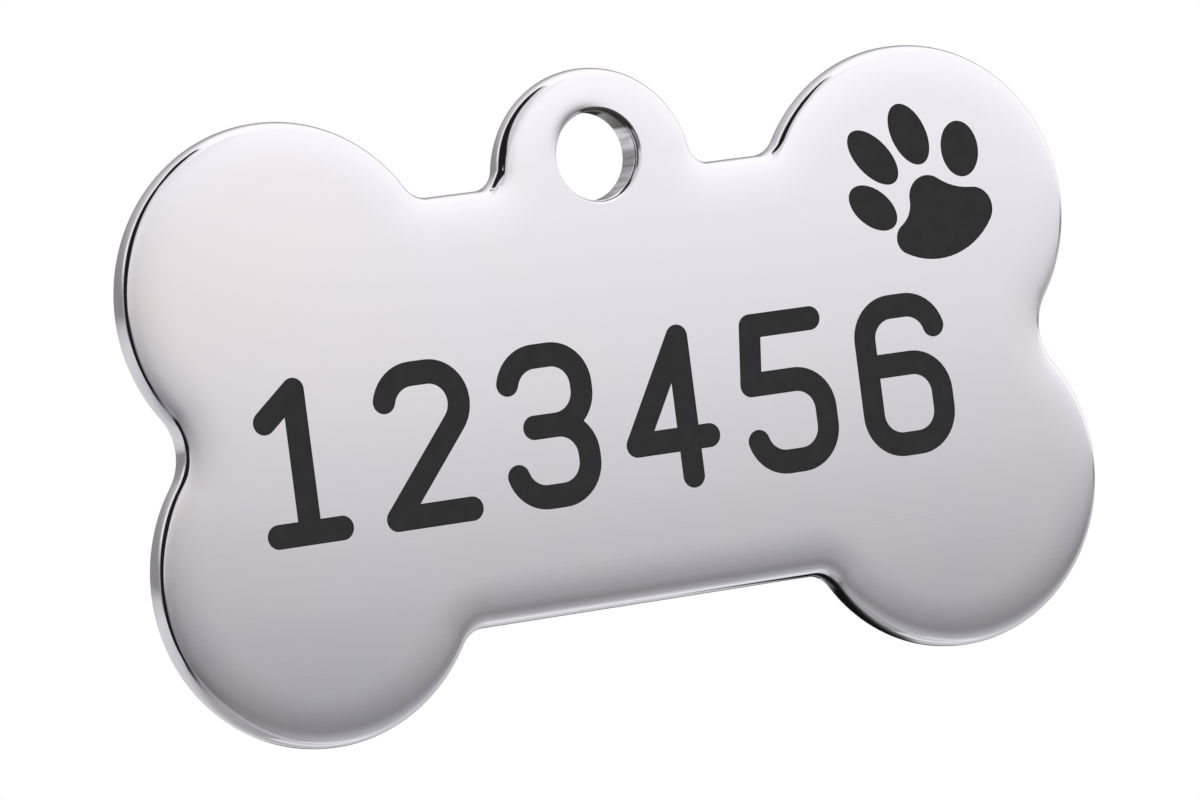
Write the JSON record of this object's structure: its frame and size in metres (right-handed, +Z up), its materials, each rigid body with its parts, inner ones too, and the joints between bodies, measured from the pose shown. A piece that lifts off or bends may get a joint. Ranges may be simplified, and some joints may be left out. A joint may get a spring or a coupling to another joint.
{
  "type": "pet id tag",
  "caption": "Flat bone-shaped steel tag for a pet's collar, with a ring ear and hole above the waist, and an enamelled paw print and plain figures set in its face.",
  "frame": {"origin": "centre of the ring hole, half-way through the plate's thickness", "axes": "+Z up towards the ear as the tag hangs, +X to the right for someone who looks at the engraved face, the face towards -Y"},
  "size_m": [0.05, 0.0018, 0.0299],
  "materials": {
    "polished_steel": "polished, with faint hairlines and soft rolled edges",
    "dark_enamel": "baked satin enamel, dark grey"
  },
  "bodies": {
    "root": {"tag_plate": "polished_steel", "paw_pad_fill": "dark_enamel", "paw_toe_fill_1": "dark_enamel", "paw_toe_fill_2": "dark_enamel", "paw_toe_fill_3": "dark_enamel", "paw_toe_fill_4": "dark_enamel", "digit_fill_1": "dark_enamel", "digit_fill_2": "dark_enamel", "digit_fill_3": "dark_enamel", "digit_fill_4": "dark_enamel", "digit_fill_5": "dark_enamel", "digit_fill_6": "dark_enamel"}
  },
  "joints": []
}
